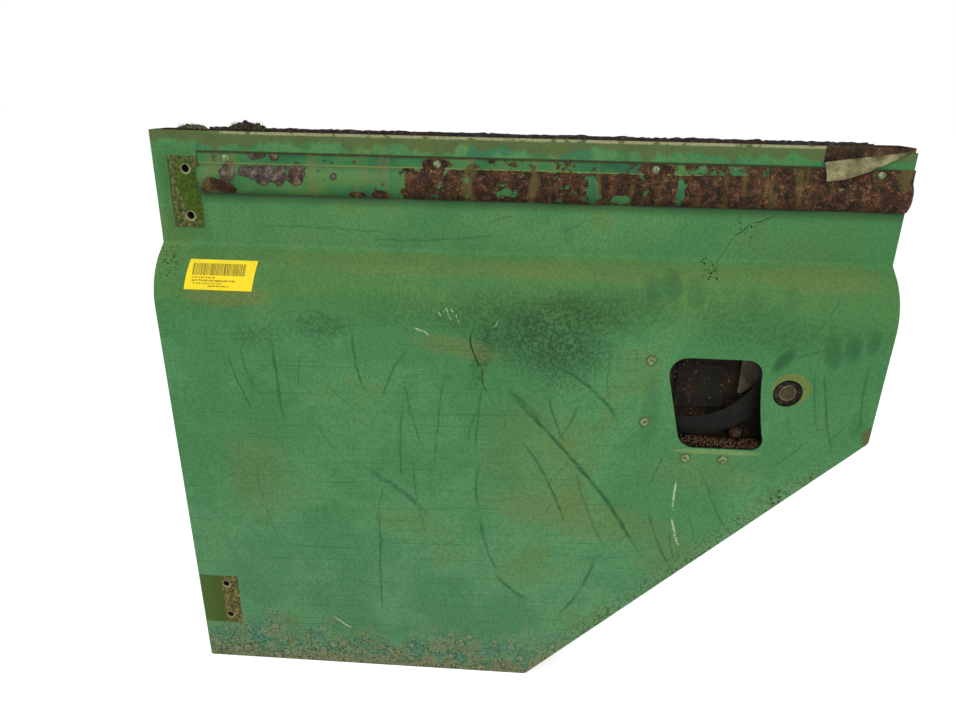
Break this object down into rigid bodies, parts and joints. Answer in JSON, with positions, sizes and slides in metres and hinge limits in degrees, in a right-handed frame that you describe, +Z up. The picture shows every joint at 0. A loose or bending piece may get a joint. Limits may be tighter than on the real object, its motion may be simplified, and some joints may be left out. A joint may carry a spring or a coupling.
{
  "type": "vehicle side door lower half",
  "caption": "Weathered green lower half of a left rear side door, with a folded skin over a steel frame, a bare handle opening and a torn waist corner.",
  "frame": {"origin": "on the skin's outer face, midway between the two bolt holes of the upper hinge", "axes": "+X from the hinge edge to the latch edge, +Y into the vehicle, +Z up"},
  "size_m": [0.8015, 0.0779, 0.7025],
  "materials": {
    "black_steel": "black painted steel with dust",
    "capping_paint": "green paint over galvanised steel, rusted through towards the latch edge",
    "dark_steel": "dull dark steel",
    "dull_zinc": "dull, dirty zinc plate",
    "green_paint": "weathered green paint over aluminium, stained, scratched and corroded at the foot",
    "inner_paint": "dusty green paint with rust at the edges",
    "old_rubber": "perished black rubber",
    "recess_black": "black paint with brown rust stains",
    "rivet_alloy": "dull rivet alloy with paint rests",
    "rusty_steel": "dark brown rusted steel",
    "worn_alloy": "worn cast alloy"
  },
  "bodies": {
    "door": {"outer_skin": "green_paint", "waist_capping": "capping_paint", "capping_rivets": "rivet_alloy", "handle_rivets": "rivet_alloy", "hinge_pillar": "rusty_steel", "lock_pillar": "rusty_steel", "wheel_arch_rail": "rusty_steel", "bottom_rail": "rusty_steel", "waist_rail_outer": "rusty_steel", "waist_rail_inner": "rusty_steel", "upper_hinge_plate": "dark_steel", "lower_hinge_plate": "dark_steel", "outer_wiper_seal": "old_rubber", "inner_wiper_seal": "old_rubber", "seal_remnants": "old_rubber", "handle_pan": "recess_black", "lock_housing": "recess_black", "latch_bracket": "dull_zinc", "latch_case": "dull_zinc", "latch_claw": "dark_steel", "lever_pivot": "dull_zinc", "lever_spring": "dark_steel", "front_glass_channel": "dull_zinc", "rear_glass_channel": "dull_zinc", "inner_panel": "inner_paint"},
    "barrel": {"lock_barrel": "worn_alloy"},
    "lever": {"release_lever": "black_steel"}
  },
  "joints": [
    {"name": "key_turn", "type": "hinge", "parent": "door", "child": "barrel", "pos_m": [0.666, -0.03, -0.194], "axis": [0, -1, 0], "range_deg": [-45, 45]},
    {"name": "lever_lift", "type": "hinge", "parent": "door", "child": "lever", "pos_m": [0.69, -0.014, -0.15], "axis": [0, 1, 0], "range_deg": [0, 5], "stiffness_Nm_per_rad": 1}
  ]
}
